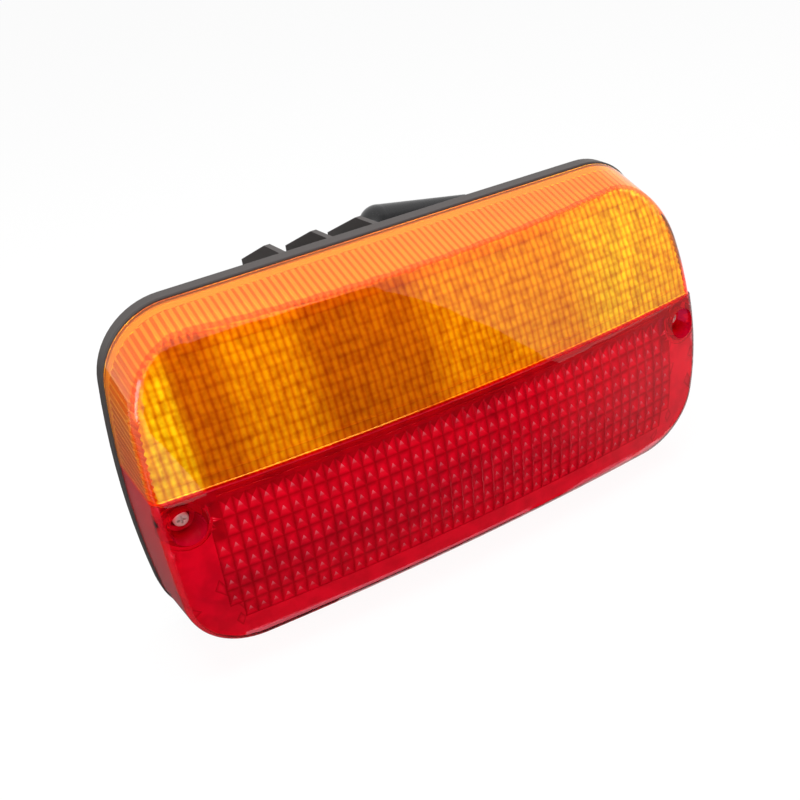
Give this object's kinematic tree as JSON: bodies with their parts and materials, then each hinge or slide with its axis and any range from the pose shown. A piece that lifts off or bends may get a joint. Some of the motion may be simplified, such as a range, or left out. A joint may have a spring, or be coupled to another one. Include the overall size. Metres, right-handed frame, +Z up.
{
  "type": "tail light cluster",
  "caption": "Rounded rectangular rear lamp with an amber indicator half above a red stop and tail half, in a black flanged housing with a rear tub and fixing studs.",
  "frame": {"origin": "middle of the rear mounting face, between the two studs", "axes": "+X along the lamp, +Z up with the amber half on top, +Y out of the back along the studs; the lens faces -Y"},
  "size_m": [0.2412, 0.1149, 0.1348],
  "materials": {
    "black_plastic": "fine satin grain",
    "amber_lens": "clear moulded amber",
    "red_lens": "clear moulded red",
    "seal_rubber": "soft matt",
    "boot_rubber": "smooth",
    "zinc_steel": "bright zinc plate",
    "bright_tray": "bright metallised",
    "rivet_aluminium": "plain",
    "tinned_steel": "tinned",
    "brown_laminate": "pressed laminate",
    "contact_brass": "plain strip",
    "cap_brass": "drawn",
    "bulb_glass": "clear",
    "filament_wire": "drawn wire"
  },
  "bodies": {
    "root": {"housing": "black_plastic", "lens_amber": "amber_lens", "lens_red": "red_lens", "lens_gasket": "seal_rubber", "cable_boot": "boot_rubber", "lens_screws": "zinc_steel", "mounting_studs": "zinc_steel", "reflector": "bright_tray", "reflector_screws": "zinc_steel", "socket_rivets": "rivet_aluminium", "indicator_socket": "tinned_steel", "tail_socket": "tinned_steel", "indicator_insulator": "brown_laminate", "tail_insulator": "brown_laminate", "indicator_contact": "contact_brass", "tail_contacts": "contact_brass", "indicator_bulb_cap": "cap_brass", "tail_bulb_cap": "cap_brass", "indicator_bulb_glass": "bulb_glass", "tail_bulb_glass": "bulb_glass", "indicator_bulb_filament": "filament_wire", "tail_bulb_filament": "filament_wire"}
  },
  "joints": []
}
